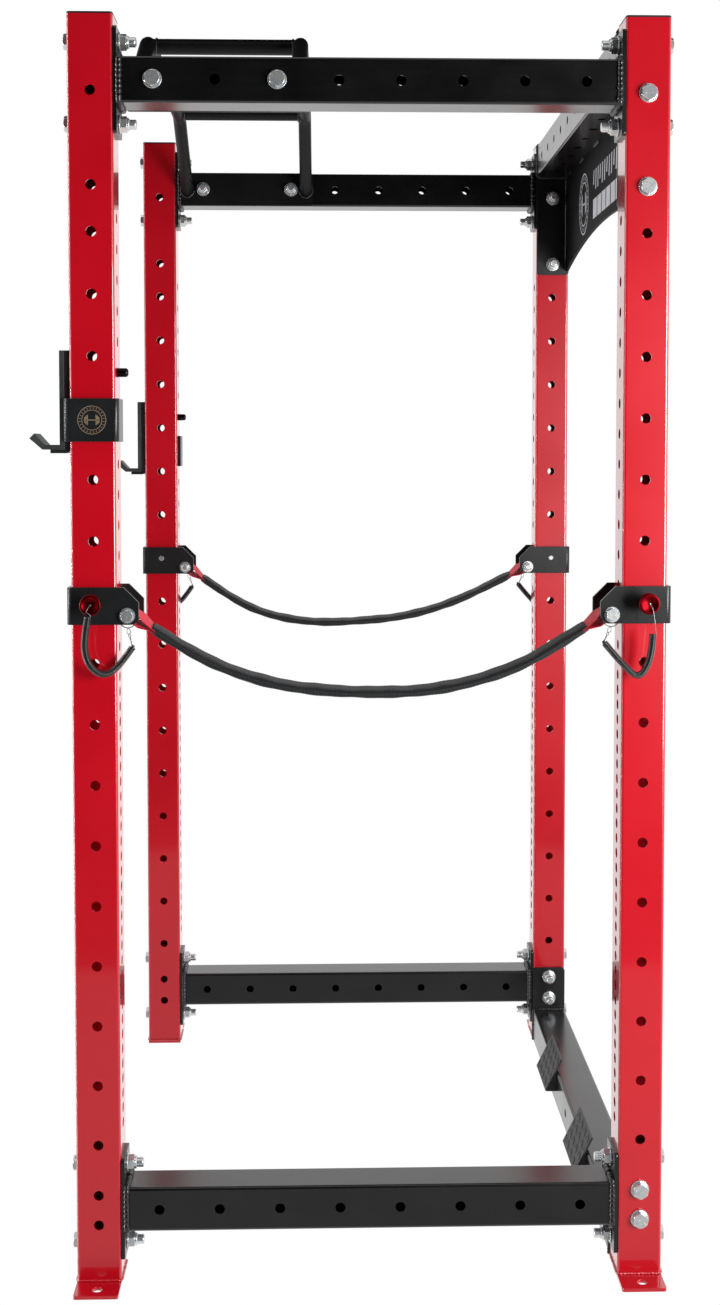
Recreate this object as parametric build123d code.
"""Power cage: four perforated square-tube uprights tied by side beams and rear crossmembers, with
a multi-grip pull-up frame, two J-hooks, two hanging safety straps and their locking pins.

Millimetres. +Z is up, the floor is z = 0 and the origin is the centre of the four floor-anchor
holes. The lifter walks in from the front, -Y. +X is the cage's right side.
"""
import os
from math import atan2, cos, degrees, radians, sin, tan

from build123d import *

# ---- driving dimensions ----------------------------------------------------------------------
TUBE = 75.0                      # outside width of every square tube
WALL = 3.0
TUBE_CORNER = 5.0                # outside corner radius of the tube
HOLE_R = 8.5                     # hole for 5/8 in hardware
PITCH = 101.6                    # hole pitch on the outward faces, 4 in
HALF_WIDTH = 585.0               # upright centre line from the middle plane, across
HALF_DEPTH = 457.2               # upright centre line from the middle plane, front to rear
UPRIGHT_TOP = 2115.0
CAP_T = 3.5

FOOT_T = 6.0
FOOT_REACH = 50.0                # how far a foot plate stands out beyond the upright
ANCHOR_X = 650.0                 # centre line of the floor-anchor holes

SIDE_HOLE_FIRST = 239.4          # lowest hole of the 4 in grid on the side faces
SIDE_HOLE_COUNT = 16
CROSS_LOW = (102.6, 153.4)       # side-face holes that hold the rear bottom crossmember
CROSS_HIGH = (1839.6, 1992.0)    # side-face holes that hold the rear top crossmember
FINE_PITCH = 25.4                # front-face hole pitch in the bench zone
FINE_FIRST, FINE_COUNT = 264.8, 31
COARSE_FIRST, COARSE_COUNT = 1077.6, 15

BEAM_TOP_Z = 2010.0              # centre of the top side beams
BEAM_LOW_Z = 128.0               # centre of the bottom side beams
BEAM_HOLES = 8
END_PLATE_T = 6.0
END_PLATE_H = 174.0
END_BOLT_RISE = 67.0             # bolt above and below the beam's centre

REAR_TOP_HOLES = 10
REAR_TOP_PLATE_LOW = 1815.0
ARCH_T = 6.0
ARCH_MID_Z = 1873.0              # lower edge of the arch panel at its middle
ARCH_END_Z = 1824.0              # and where it meets the end plates
REAR_LOW_PLATE_TOP = 175.0

TREAD_W, TREAD_LEN, TREAD_T = 150.0, 76.0, 4.0
TREAD_X = 207.0
TREAD_TILT = 63.5                # degrees from the floor

BOLT_R = 7.9                     # M16 shank
BOLT_HEAD_AF, BOLT_HEAD_H = 24.0, 9.5
NUT_H, NUT_COLLAR_H = 10.5, 3.5
WASHER_R, WASHER_T = 15.5, 2.5
THREAD_END = 12.0                # thread showing beyond the nut

GRIP_R = 14.0
GRIP_Z = 2136.0
GRIP_BEND_X = 330.0
GRIP_BEND_R = 60.0
GRIP_FOOT_Z = 2009.0
GRIP_FRONT_Y, GRIP_REAR_Y = -392.0, -118.0
GRIP_CROSS_X = 305.0
GRIP_PLATE_LEN = 305.0
GRIP_PLATE_FRONT_Y = -407.0

STRAP_Z = SIDE_HOLE_FIRST + 9 * PITCH        # side-face hole that the strap brackets pin into
BRACKET_T = 6.0
BRACKET_GAP = 0.5                # slack between a bracket and its upright
BRACKET_ABOVE, BRACKET_BELOW = 26.0, 36.0
EAR_REACH = 37.0                 # ear beyond the upright's inward face
EAR_CHAMFER = 25.0
STRAP_BOLT_REACH = 18.0          # strap bolt beyond the upright's inward face
STRAP_BOLT_DROP = 20.8           # strap bolt below the locking pin
STRAP_BOLT_R = 6.0
SPACER_R, SPACER_LEN = 10.0, 66.0
STRAP_W = 50.0
WEBBING_T = 3.0
SLEEVE_T = 11.0

PIN_R = 6.25                     # locking pin
KNOB_R, KNOB_T, KNOB_STAND = 17.5, 15.0, 42.0
RING_R, RING_WIRE_R = 14.0, 0.9  # split ring on each strap bolt
TETHER_WIRE_R = 0.8
COIL_R = 5.5                     # outside of the coiled tether

HOOK_PIN_R = 7.5
HOOK_RIGHT_Z = SIDE_HOLE_FIRST + 13 * PITCH - FINE_PITCH
HOOK_LEFT_Z = HOOK_RIGHT_Z - 2 * FINE_PITCH
HOOK_W = 60.0
HOOK_STEEL_T = 9.0
HOOK_GAP = 0.5
HOOK_ABOVE, HOOK_BELOW = 35.0, 134.0
HOOK_SHELF = 33.0                # steel shelf in front of the upright
LINER_T = 8.0
WRAP_T = 6.0
WRAP_TOP, WRAP_LOW = 44.0, 115.0
WRAP_FLANGE = 60.0

# Centre lines of the strap sleeves, front to rear, as (y, z).
SLEEVE_RIGHT = [(-365, 1109), (-297, 1065), (-222, 1031), (-143, 1009.5), (-60, 1000.5), (25, 998),
                (105, 1002), (182, 1018), (256, 1044), (318, 1080), (365, 1110)]
SLEEVE_LEFT = [(-365, 1106), (-305, 1063), (-235, 1026), (-160, 1006), (-80, 998), (5, 1002),
               (90, 1009), (165, 1025), (235, 1049), (302, 1079.5), (365, 1112)]

# Coiled tethers on the right side, from the knob to the ring: x, then the way in from the upright's
# centre line, then the height from the locking pin. The left side is the mirror image.
COIL_FRONT = [(671, -4, -24), (670, -8.5, -46), (666, -10.5, -76), (659, -3, -101),
              (650, 13, -116), (642, 29, -115), (635, 46, -99), (629, 64, -73)]
COIL_REAR = [(671, -5, -49), (668, -4.5, -71), (663, -0.5, -96), (655, 8, -117),
             (648, 19, -122), (641, 33, -108), (635, 50, -90), (629, 68, -68)]

# ---- derived places --------------------------------------------------------------------------
HALF = TUBE / 2
OUT_X, IN_X = HALF_WIDTH + HALF, HALF_WIDTH - HALF
OUT_Y, IN_Y = HALF_DEPTH + HALF, HALF_DEPTH - HALF
SIDE_HOLES = ([*CROSS_LOW, *CROSS_HIGH]
              + [SIDE_HOLE_FIRST + k * PITCH for k in range(SIDE_HOLE_COUNT)])
END_BOLTS = [z + s * END_BOLT_RISE for z in (BEAM_LOW_Z, BEAM_TOP_Z) for s in (-1, 1)]
FRONT_HOLES = (END_BOLTS + [FINE_FIRST + k * FINE_PITCH for k in range(FINE_COUNT)]
               + [COARSE_FIRST + k * 2 * FINE_PITCH for k in range(COARSE_COUNT)])
STRAP_BOLT_Y = IN_Y - STRAP_BOLT_REACH
STRAP_BOLT_Z = STRAP_Z - STRAP_BOLT_DROP
EAR_OUT_X = OUT_X + BRACKET_GAP + BRACKET_T
EAR_IN_X = IN_X - BRACKET_GAP - BRACKET_T
CORNERS = {"front_right": (1, -1), "front_left": (-1, -1), "rear_right": (1, 1), "rear_left": (-1, 1)}
SIDES = {"right": 1, "left": -1}
FRAME_BOLTS, FRAME_WASHERS, FRAME_NUTS = [], [], []


def save(node, shapes):
    """Write one sub-part as parts/NODE.step, each of its pieces a separate solid."""
    solids = [solid for shape in shapes for solid in shape.solids()]
    export_step(Compound(solids), f"parts/{node}.step")


def toward(point, direction):
    """Placement whose local +Z runs along direction from point."""
    return Plane(origin=point, z_dir=direction).location


def rod(start, direction, length, radius):
    """Solid cylinder from start along direction."""
    return toward(start, direction) * Cylinder(radius, length, align=(Align.CENTER, Align.CENTER, Align.MIN))


def block(low, high):
    """Solid box between two corners, given in any order."""
    lows = [min(a, b) for a, b in zip(low, high)]
    sizes = [abs(a - b) for a, b in zip(low, high)]
    return Pos(*lows) * Box(*sizes, align=(Align.MIN, Align.MIN, Align.MIN))


def square_tube(length):
    """Square tube along +Z from z = 0."""
    outer = RectangleRounded(TUBE, TUBE, TUBE_CORNER)
    inner = RectangleRounded(TUBE - 2 * WALL, TUBE - 2 * WALL, TUBE_CORNER - WALL)
    return extrude(outer - inner, length)


def flip_x(shape):
    """Mirror image across the cage's middle plane."""
    return mirror(shape, about=Plane.YZ)


def place(shape, x_side, y_side):
    """Move a front-right shape to another corner of the cage by mirror images."""
    if x_side < 0:
        shape = mirror(shape, about=Plane.YZ)
    if y_side > 0:
        shape = mirror(shape, about=Plane.XZ)
    return shape


# ---- fasteners -------------------------------------------------------------------------------
def hex_prism(across_flats, height, top_chamfer):
    """Hexagon prism on z = 0 whose top corners are turned away, as on a forged head."""
    prism = extrude(RegularPolygon(across_flats / 2, 6, major_radius=False), height)
    turned = Cylinder(across_flats * 0.575, height, align=(Align.CENTER, Align.CENTER, Align.MIN))
    turned = chamfer(turned.edges().group_by(Axis.Z)[-1], top_chamfer)
    return prism & turned


def hex_bolt(shank_r, length, across_flats, head_h):
    """Bolt with its shank along +Z from z = 0 and its head below."""
    shank = Cylinder(shank_r, length, align=(Align.CENTER, Align.CENTER, Align.MIN))
    shank = chamfer(shank.edges().group_by(Axis.Z)[-1], 1.2)
    return shank + Rot(180, 0, 0) * hex_prism(across_flats, head_h, 1.6)


def lock_nut(bore_r, across_flats, height, collar_h):
    """Nylon-insert nut along +Z from z = 0, its collar at the far end."""
    collar = Pos(0, 0, height) * Cylinder(across_flats * 0.44, collar_h,
                                          align=(Align.CENTER, Align.CENTER, Align.MIN))
    collar = fillet(collar.edges().group_by(Axis.Z)[-1], 1.4)
    body = hex_prism(across_flats, height, 1.2) + collar
    return body - Cylinder(bore_r, 4 * height)


def washer(inner_r, outer_r, thickness):
    """Flat washer from z = 0 up."""
    return extrude(Circle(outer_r) - Circle(inner_r), thickness)


def add_joint_bolt(head_face, direction, grip, head_washer):
    """Put one M16 bolt, nut and washers through grip millimetres of material."""
    spot = toward(head_face, direction)
    head_gap = WASHER_T if head_washer else 0.0
    length = grip + head_gap + WASHER_T + NUT_H + NUT_COLLAR_H + THREAD_END
    FRAME_BOLTS.append(spot * Pos(0, 0, -head_gap) * hex_bolt(BOLT_R, length, BOLT_HEAD_AF, BOLT_HEAD_H))
    flat = washer(BOLT_R + 0.6, WASHER_R, WASHER_T)
    if head_washer:
        FRAME_WASHERS.append(spot * Pos(0, 0, -WASHER_T) * flat)
    FRAME_WASHERS.append(spot * Pos(0, 0, grip) * flat)
    nut = lock_nut(BOLT_R + 0.1, BOLT_HEAD_AF, NUT_H, NUT_COLLAR_H)
    FRAME_NUTS.append(spot * Pos(0, 0, grip + WASHER_T) * nut)


# ---- uprights --------------------------------------------------------------------------------
def make_upright():
    """One upright on its own centre line, standing on its foot plate."""
    tube = Pos(0, 0, FOOT_T) * square_tube(UPRIGHT_TOP - FOOT_T)
    drills = [Pos(0, 0, z) * Rot(0, 90, 0) * Cylinder(HOLE_R, 2 * TUBE) for z in SIDE_HOLES]
    drills += [Pos(0, 0, z) * Rot(90, 0, 0) * Cylinder(HOLE_R, 2 * TUBE) for z in FRONT_HOLES]
    return tube - drills


def make_foot_plate():
    """Foot plate of the front right upright."""
    plate = block((IN_X, -OUT_Y, 0), (OUT_X + FOOT_REACH, -IN_Y, FOOT_T))
    plate = fillet(plate.edges().filter_by(Axis.Z).group_by(Axis.X)[-1], 4)
    return plate - Pos(ANCHOR_X, -HALF_DEPTH, 0) * Cylinder(HOLE_R, 4 * FOOT_T)


def make_cap():
    """Plastic plug of one upright: a flat lid and a spigot inside the tube."""
    lid = extrude(RectangleRounded(TUBE, TUBE, TUBE_CORNER), CAP_T)
    lid = fillet(lid.edges().group_by(Axis.Z)[-1], 1.5)
    bore = TUBE - 2 * WALL - 1.0
    spigot = extrude(RectangleRounded(bore, bore, TUBE_CORNER - WALL) - Rectangle(bore - 5, bore - 5), -15)
    return lid + spigot


def build_uprights():
    upright, cap, foot = make_upright(), make_cap(), make_foot_plate()
    for name, (x_side, y_side) in CORNERS.items():
        save(f"upright_{name}", [Pos(x_side * HALF_WIDTH, y_side * HALF_DEPTH, 0) * upright])
    save("foot_plates", [place(foot, *sides) for sides in CORNERS.values()])
    save("upright_caps", [Pos(x * HALF_WIDTH, y * HALF_DEPTH, UPRIGHT_TOP) * cap
                          for x, y in CORNERS.values()])


# ---- side beams ------------------------------------------------------------------------------
def make_side_beam():
    """Side beam along Y, centred on the origin, drilled through its two outward faces."""
    reach = IN_Y - END_PLATE_T
    tube = Rot(90, 0, 0) * Pos(0, 0, -reach) * square_tube(2 * reach)
    first = -(BEAM_HOLES - 1) / 2 * PITCH
    return tube - [Pos(0, first + i * PITCH, 0) * Rot(0, 90, 0) * Cylinder(HOLE_R, 2 * TUBE)
                   for i in range(BEAM_HOLES)]


def make_side_end_plate():
    """Front end plate of a side beam centred on x = 0, z = 0."""
    plate = block((-HALF, -IN_Y, -END_PLATE_H / 2), (HALF, -IN_Y + END_PLATE_T, END_PLATE_H / 2))
    plate = fillet(plate.edges().filter_by(Axis.Y), 6)
    return plate - [Pos(0, -IN_Y, s * END_BOLT_RISE) * Rot(90, 0, 0) * Cylinder(HOLE_R, TUBE)
                    for s in (-1, 1)]


def build_side_beams():
    beam, plate = make_side_beam(), make_side_end_plate()
    plates = []
    for side_name, side in SIDES.items():
        for level, z in (("top", BEAM_TOP_Z), ("bottom", BEAM_LOW_Z)):
            save(f"{level}_side_beam_{side_name}", [Pos(side * HALF_WIDTH, 0, z) * beam])
            for end in (-1, 1):
                spot = Pos(side * HALF_WIDTH, 0, z)
                plates.append(spot * place(plate, 1, end))
                for s in (-1, 1):
                    head = (side * HALF_WIDTH, end * OUT_Y, z + s * END_BOLT_RISE)
                    add_joint_bolt(head, (0, -end, 0), TUBE + END_PLATE_T, False)
    save("side_beam_end_plates", plates)


# ---- rear crossmembers -----------------------------------------------------------------------
def make_cross_tube():
    """Rear crossmember tube along X, centred on the rear uprights' line at z = 0."""
    reach = IN_X - END_PLATE_T
    return Pos(-reach, HALF_DEPTH, 0) * Rot(0, 90, 0) * square_tube(2 * reach)


def make_cross_plate(low, high, bolt_heights, cut_low):
    """Right end plate of a rear crossmember with its bolt holes."""
    plate = block((IN_X - END_PLATE_T, IN_Y, low), (IN_X, OUT_Y, high))
    ends = plate.edges().filter_by(Axis.X).group_by(Axis.Z)
    plate = fillet(ends[0] if cut_low else ends[-1], 8)
    return plate - [Pos(IN_X, HALF_DEPTH, z) * Rot(0, 90, 0) * Cylinder(HOLE_R, TUBE)
                    for z in bolt_heights]


def make_arch_panel():
    """Plate under the rear top beam, flush with its rear face, its lower edge one long arc."""
    reach, top = IN_X - END_PLATE_T, UPRIGHT_TOP - TUBE
    sides = Polyline((-reach, ARCH_END_Z), (-reach, top), (reach, top), (reach, ARCH_END_Z))
    arch = ThreePointArc((reach, ARCH_END_Z), (0, ARCH_MID_Z), (-reach, ARCH_END_Z))
    outline = Plane((0, OUT_Y, 0), x_dir=(1, 0, 0), z_dir=(0, -1, 0)) * make_face(sides + arch)
    return extrude(outline, ARCH_T)


def build_rear_crossmembers():
    tube = make_cross_tube()
    top_z, low_z = UPRIGHT_TOP - HALF, HALF
    spots = [(i - (REAR_TOP_HOLES - 1) / 2) * PITCH for i in range(REAR_TOP_HOLES)]
    front_drills = [Pos(x, HALF_DEPTH, top_z) * Rot(90, 0, 0) * Cylinder(HOLE_R, 2 * TUBE) for x in spots]
    under_drills = [Pos(x, HALF_DEPTH, top_z - HALF) * Cylinder(HOLE_R, TUBE) for x in spots]
    save("rear_top_beam", [Pos(0, 0, top_z) * tube - front_drills - under_drills])
    save("rear_arch_panel", [make_arch_panel()])
    top_plate = make_cross_plate(REAR_TOP_PLATE_LOW, UPRIGHT_TOP, CROSS_HIGH, True)
    save("rear_top_end_plates", [top_plate, flip_x(top_plate)])
    middle_drill = Pos(0, IN_Y, low_z) * Rot(90, 0, 0) * Cylinder(HOLE_R, TUBE)
    save("rear_bottom_beam", [Pos(0, 0, low_z) * tube - middle_drill])
    low_plate = make_cross_plate(0, REAR_LOW_PLATE_TOP, CROSS_LOW, False)
    save("rear_bottom_end_plates", [low_plate, flip_x(low_plate)])
    for side in SIDES.values():
        for z in (*CROSS_LOW, *CROSS_HIGH):
            add_joint_bolt((side * OUT_X, HALF_DEPTH, z), (-side, 0, 0), TUBE + END_PLATE_T, True)


def build_footrests():
    """Tilted tread plates in front of the rear bottom beam, each on two side gussets."""
    run, rise = TREAD_LEN * cos(radians(TREAD_TILT)), TREAD_LEN * sin(radians(TREAD_TILT))
    low_z = 33.0
    # The tread's back rests on the beam's top front edge.
    low_y = IN_Y - (TUBE - low_z) / tan(radians(TREAD_TILT))
    back = [(low_y, low_z), (low_y + run, low_z + rise)]
    lift = Vector(-sin(radians(TREAD_TILT)), cos(radians(TREAD_TILT))) * TREAD_T
    front = [(y + lift.X, z + lift.Y) for y, z in reversed(back)]
    tread_face = make_face(Polyline(*back, *front, close=True))
    gusset_face = make_face(Polyline((low_y, low_z), (IN_Y, low_z), (IN_Y, TUBE), close=True))
    treads, gussets = [], []
    for middle in (-TREAD_X, TREAD_X):
        treads.append(extrude(Plane.YZ.offset(middle - TREAD_W / 2) * tread_face, TREAD_W))
        for inset in (0, TREAD_W - TREAD_T):
            gussets.append(extrude(Plane.YZ.offset(middle - TREAD_W / 2 + inset) * gusset_face, TREAD_T))
    save("footrest_treads", treads)
    save("footrest_gussets", gussets)


# ---- pull-up frame ---------------------------------------------------------------------------
def make_grip_bar(y):
    """Bar across the cage with both legs bent down to the mount plates."""
    plate_x = IN_X - END_PLATE_T
    slope = (GRIP_Z - GRIP_FOOT_Z) / (plate_x - GRIP_BEND_X)
    past = 25.0
    foot = (plate_x + past, y, GRIP_FOOT_Z - past * slope)
    bend = (GRIP_BEND_X, y, GRIP_Z)
    route = FilletPolyline((-foot[0], *foot[1:]), (-bend[0], *bend[1:]), bend, foot, radius=GRIP_BEND_R)
    bar = sweep(Plane(origin=route @ 0, z_dir=route % 0) * Circle(GRIP_R), path=route)
    return bar & block((-plate_x, y - TUBE, 0), (plate_x, y + TUBE, UPRIGHT_TOP + TUBE))


def build_pullup_frame():
    front, rear = make_grip_bar(GRIP_FRONT_Y), make_grip_bar(GRIP_REAR_Y)
    save("pullup_bar_front", [front])
    save("pullup_bar_rear", [rear])
    span = GRIP_REAR_Y - GRIP_FRONT_Y
    crosses = [rod((s * GRIP_CROSS_X, GRIP_FRONT_Y, GRIP_Z), (0, 1, 0), span, GRIP_R) - front - rear
               for s in SIDES.values()]
    save("pullup_cross_bars", crosses)
    plates = []
    for side in SIDES.values():
        near, far = side * IN_X, side * (IN_X - END_PLATE_T)
        plate = block((near, GRIP_PLATE_FRONT_Y, BEAM_TOP_Z - HALF),
                      (far, GRIP_PLATE_FRONT_Y + GRIP_PLATE_LEN, BEAM_TOP_Z + HALF))
        plate = fillet(plate.edges().filter_by(Axis.X), 5)
        for hole in (0, 2):
            y = (hole - (BEAM_HOLES - 1) / 2) * PITCH
            plate -= Pos(near, y, BEAM_TOP_Z) * Rot(0, 90, 0) * Cylinder(HOLE_R, TUBE)
            add_joint_bolt((side * OUT_X, y, BEAM_TOP_Z), (-side, 0, 0), TUBE + END_PLATE_T, True)
        plates.append(plate)
    save("pullup_mount_plates", plates)


# ---- safety straps ---------------------------------------------------------------------------
def make_bracket():
    """Strap bracket of the front right upright: a bent plate round it with two ears inward."""
    web_y = -OUT_Y - BRACKET_GAP - BRACKET_T
    low, high = STRAP_Z - BRACKET_BELOW, STRAP_Z + BRACKET_ABOVE
    outer = block((EAR_IN_X, web_y, low), (EAR_OUT_X, -IN_Y + EAR_REACH, high))
    web_edges = outer.edges().filter_by(Axis.Z).group_by(Axis.Y)[0]
    outer = fillet(web_edges, BRACKET_T + 2)
    inner = block((EAR_IN_X + BRACKET_T, web_y + BRACKET_T, low - 1),
                  (EAR_OUT_X - BRACKET_T, -IN_Y + 2 * EAR_REACH, high + 1))
    inner = fillet(inner.edges().filter_by(Axis.Z).group_by(Axis.Y)[0], 2)
    bracket = outer - inner
    ear_ends = bracket.edges().filter_by(Axis.X).group_by(Axis.Y)[-1].group_by(Axis.Z)
    bracket = chamfer(ear_ends[-1], EAR_CHAMFER)
    ear_ends = bracket.edges().filter_by(Axis.X).group_by(Axis.Y)[-1].group_by(Axis.Z)
    bracket = fillet(ear_ends[0], 14)
    drill_pin = rod((0, -HALF_DEPTH, STRAP_Z), (1, 0, 0), 2 * HALF_WIDTH, PIN_R + 0.5)
    drill_bolt = rod((0, -STRAP_BOLT_Y, STRAP_BOLT_Z), (1, 0, 0), 2 * HALF_WIDTH, STRAP_BOLT_R + 0.3)
    return bracket - drill_pin - drill_bolt


def build_strap_hardware():
    bracket = make_bracket()
    head = (EAR_OUT_X, -STRAP_BOLT_Y, STRAP_BOLT_Z)
    spot = toward(head, (-1, 0, 0))
    grip = EAR_OUT_X - EAR_IN_X
    flat = washer(STRAP_BOLT_R + 0.4, 13.0, 2.5)
    bolt = spot * Pos(0, 0, -2.5) * hex_bolt(STRAP_BOLT_R, grip + 24, 19, 7.5)
    nut = spot * Pos(0, 0, grip + 2.5) * lock_nut(STRAP_BOLT_R + 0.1, 19, 9, 3)
    washers = spot * Pos(0, 0, -2.5) * flat + spot * Pos(0, 0, grip) * flat
    tube_section = Circle(SPACER_R) - Circle(STRAP_BOLT_R + 0.3)
    spacer_start = (HALF_WIDTH - SPACER_LEN / 2 - 3, -STRAP_BOLT_Y, STRAP_BOLT_Z)
    spacer = toward(spacer_start, (1, 0, 0)) * extrude(tube_section, SPACER_LEN)
    for name, sides in CORNERS.items():
        save(f"strap_bracket_{name}", [place(bracket, *sides)])
    groups = {"strap_bolts": bolt, "strap_nuts": nut, "strap_washers": washers, "strap_spacers": spacer}
    for node, shape in groups.items():
        save(node, [place(shape, *sides) for sides in CORNERS.values()])


def make_webbing_loop(side, eye, join):
    """Webbing round one spacer: a teardrop closing on the sleeve's end."""
    pull = Vector(join[0] - eye[0], join[1] - eye[1])
    reach = pull.length
    face = make_hull((Circle(SPACER_R + 0.3 + WEBBING_T).edges()
                      + (Pos(reach, 0) * Circle(WEBBING_T + 1.2)).edges()))
    eye_face = make_hull((Circle(SPACER_R + 0.3).edges() + (Pos(reach * 0.72, 0) * Circle(0.7)).edges()))
    face = face - eye_face - Pos(reach + TUBE / 2, 0) * Rectangle(TUBE, TUBE)
    turned = Plane.YZ * Pos(eye[0], eye[1]) * Rot(0, 0, degrees(atan2(pull.Y, pull.X))) * face
    return Pos(side * HALF_WIDTH - STRAP_W / 2, 0, 0) * extrude(turned, STRAP_W)


def bend_radii(points):
    """Largest arc at each corner: 0.45 of the shorter run over the tangent of half the turn."""
    vectors = [Vector(*b) - Vector(*a) for a, b in zip(points, points[1:])]
    radii = []
    for before, after in zip(vectors, vectors[1:]):
        turn = radians(before.get_angle(after))
        radii.append(0.45 * min(before.length, after.length) / tan(turn / 2))
    return radii


def swept(name, points, section):
    """Sweep a section along straight runs joined by tangent arcs and report its bends."""
    radii = bend_radii(points)
    path = FilletPolyline(*points, radius=radii)
    solid = sweep(Plane(origin=path @ 0, x_dir=(1, 0, 0), z_dir=path % 0) * section, path=path)
    ratio = solid.volume / (section.area * path.length)
    print(f"{name}: length {path.length:.1f}, tightest bend {min(radii):.1f}, volume ratio {ratio:.4f}")
    return solid


def build_straps():
    for name, side, route in (("right", 1, SLEEVE_RIGHT), ("left", -1, SLEEVE_LEFT)):
        eyes = [(-STRAP_BOLT_Y, STRAP_BOLT_Z), (STRAP_BOLT_Y, STRAP_BOLT_Z)]
        points = [(side * HALF_WIDTH, y, z) for y, z in route]
        sleeve = swept(f"sleeve {name}", points, Rectangle(STRAP_W, SLEEVE_T))
        loops = [make_webbing_loop(side, eye, join) - sleeve
                 for eye, join in zip(eyes, (route[0], route[-1]))]
        save(f"strap_loops_{name}", loops)
        save(f"strap_sleeve_{name}", [sleeve])


# ---- locking pins and tethers ----------------------------------------------------------------
def make_knob():
    """Turned knob of the front right locking pin, its outer face dished."""
    at = EAR_OUT_X + 0.4
    spot = toward((at, -HALF_DEPTH, STRAP_Z), (1, 0, 0))
    collar = washer(PIN_R, 11, 4)
    neck = Pos(0, 0, 4) * washer(PIN_R, 8.5, KNOB_STAND - KNOB_T - 4)
    grip = Pos(0, 0, KNOB_STAND - KNOB_T) * Cylinder(KNOB_R, KNOB_T,
                                                     align=(Align.CENTER, Align.CENTER, Align.MIN))
    grip = fillet(grip.edges(), 2.5)
    dish = Pos(0, 0, KNOB_STAND + 30) * Sphere(33)
    return spot * (collar + neck + (grip - dish))


def coil_points(route, y_side):
    """Route of a right-side tether in the cage's own axes."""
    return [(x, y_side * (HALF_DEPTH - inward), STRAP_Z + rise) for x, inward, rise in route]


def build_pins_and_tethers():
    knob = make_knob()
    pin_start = (EAR_IN_X - 1.0, -HALF_DEPTH, STRAP_Z)
    shoulder = EAR_OUT_X + 0.4 + KNOB_STAND - KNOB_T
    pin = rod(pin_start, (1, 0, 0), shoulder - pin_start[0], PIN_R)
    pin = chamfer(pin.edges().group_by(Axis.X)[0], 2)
    ring_x = HALF_WIDTH + HALF - 2.0
    ring_z = STRAP_BOLT_Z + STRAP_BOLT_R - RING_R + RING_WIRE_R + 0.2
    wires = []
    for name, (x_side, y_side) in CORNERS.items():
        save(f"strap_pin_{name}", [place(pin, x_side, y_side)])
        save(f"strap_knob_{name}", [place(knob, x_side, y_side)])
        route = coil_points(COIL_FRONT if y_side < 0 else COIL_REAR, y_side)
        coil = swept(f"tether {name}", route, Circle(COIL_R))
        ring = toward((ring_x, y_side * STRAP_BOLT_Y, ring_z), (1, 0, 0)) * Torus(RING_R, RING_WIRE_R)
        low = Vector(ring_x + 2, y_side * STRAP_BOLT_Y, ring_z - RING_R - RING_WIRE_R)
        link = Vector(*route[-1]) - low
        wire = rod(low, link, link.length, TETHER_WIRE_R) - coil
        if x_side < 0:
            coil, ring, wire = flip_x(coil), flip_x(ring), flip_x(wire)
        save(f"tether_coil_{name}", [coil])
        wires += [ring, wire]
    save("tether_rings", wires)


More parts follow.
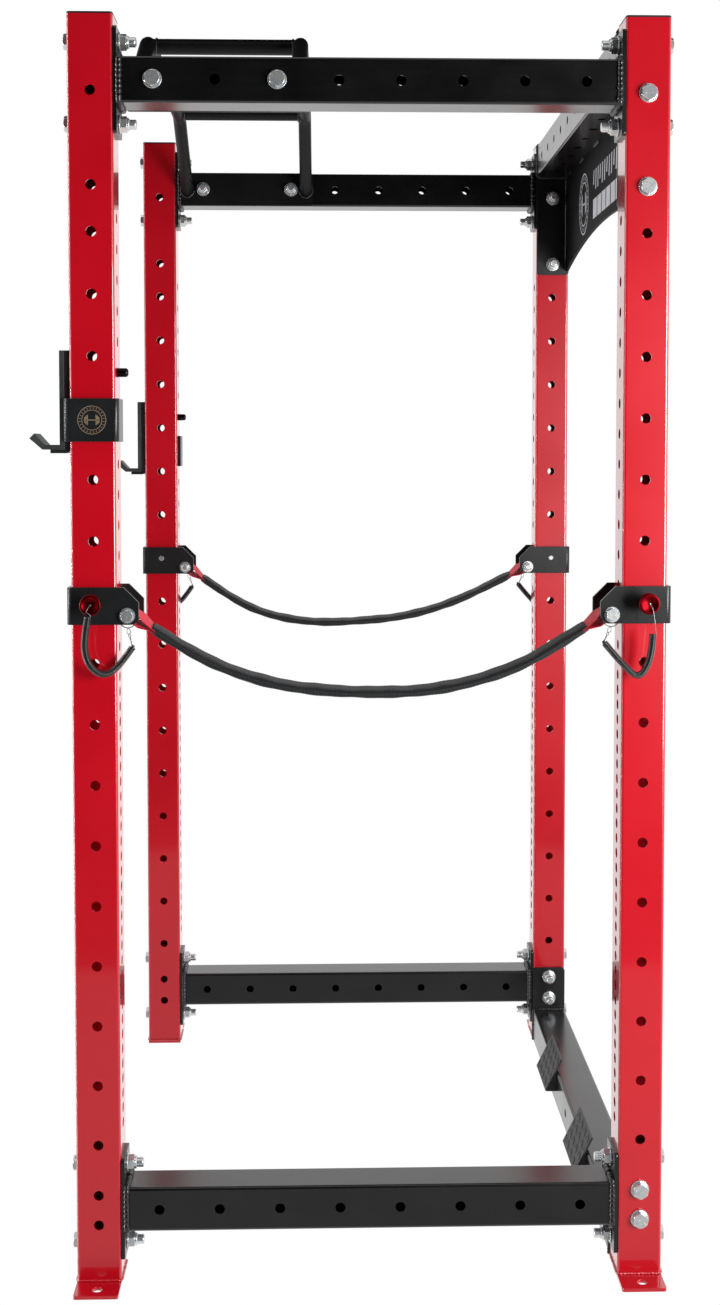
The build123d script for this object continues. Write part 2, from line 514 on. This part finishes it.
# ---- J-hooks ---------------------------------------------------------------------------------
def make_hook(pin_z):
    """Steel, liner, wrap and pin of a right J-hook whose pin is at pin_z."""
    face = -OUT_Y - HOOK_GAP
    steel_front = face - HOOK_STEEL_T
    top, low = pin_z + HOOK_ABOVE, pin_z - HOOK_BELOW
    left = HALF_WIDTH - HOOK_W / 2
    profile = Polyline((face, top), (steel_front, top), (steel_front, low + WRAP_T),
                       (-OUT_Y - HOOK_SHELF, low + WRAP_T), (-OUT_Y - HOOK_SHELF, low), (face, low),
                       close=True)
    steel = extrude(Plane.YZ.offset(left) * make_face(profile), HOOK_W)
    steel = fillet(steel.edges().filter_by(Axis.X).sort_by_distance((left, face, low))[0:1], 8)

    shelf_low = low + WRAP_T
    shelf_top = shelf_low + LINER_T
    seat_y = -OUT_Y - 46.0
    lip = 24.0
    lip_t = 12.0
    slant = cos(radians(45))
    outline = Polyline((steel_front, top), (steel_front - LINER_T, top),
                       (steel_front - LINER_T, shelf_top), (seat_y + 4, shelf_top),
                       (seat_y + 4 - lip * slant, shelf_top + lip * slant + 2),
                       (seat_y + 4 - (lip + lip_t) * slant, shelf_top + (lip - lip_t) * slant + 2),
                       (seat_y, shelf_low), (steel_front, shelf_low), close=True)
    liner = extrude(Plane.YZ.offset(left) * make_face(outline), HOOK_W)

    band_x = OUT_X + HOOK_GAP
    band_low, band_top = pin_z - WRAP_LOW, pin_z - WRAP_TOP
    back_y = -IN_Y + HOOK_GAP
    outer = block((left + HOOK_W, steel_front, band_low), (band_x + WRAP_T, back_y + WRAP_T, band_top))
    outer = fillet(outer.edges().filter_by(Axis.Z).group_by(Axis.X)[-1], WRAP_T + 2)
    hollow = block((left, face, band_low - 1), (band_x, back_y, band_top + 1))
    hollow = fillet(hollow.edges().filter_by(Axis.Z).group_by(Axis.X)[-1], 2)
    wrap = outer - hollow
    flange = block((band_x + WRAP_T - WRAP_FLANGE, back_y, band_low), (left + HOOK_W, back_y + WRAP_T, band_top))
    wrap = wrap + flange
    pin = rod((HALF_WIDTH, face, pin_z), (0, 1, 0), TUBE + HOOK_GAP + 18, HOOK_PIN_R)
    pin = fillet(pin.edges().group_by(Axis.Y)[-1], 5)
    return {"plate": steel, "liner": liner, "wrap": wrap, "pin": pin}


def build_hooks():
    for name, side, pin_z in (("right", 1, HOOK_RIGHT_Z), ("left", -1, HOOK_LEFT_Z)):
        for piece, shape in make_hook(pin_z).items():
            save(f"jhook_{piece}_{name}", [place(shape, side, -1)])


os.makedirs("parts", exist_ok=True)
build_uprights()
build_side_beams()
build_rear_crossmembers()
build_footrests()
build_pullup_frame()
build_strap_hardware()
build_straps()
build_pins_and_tethers()
build_hooks()
save("frame_bolts", FRAME_BOLTS)
save("frame_washers", FRAME_WASHERS)
save("frame_nuts", FRAME_NUTS)
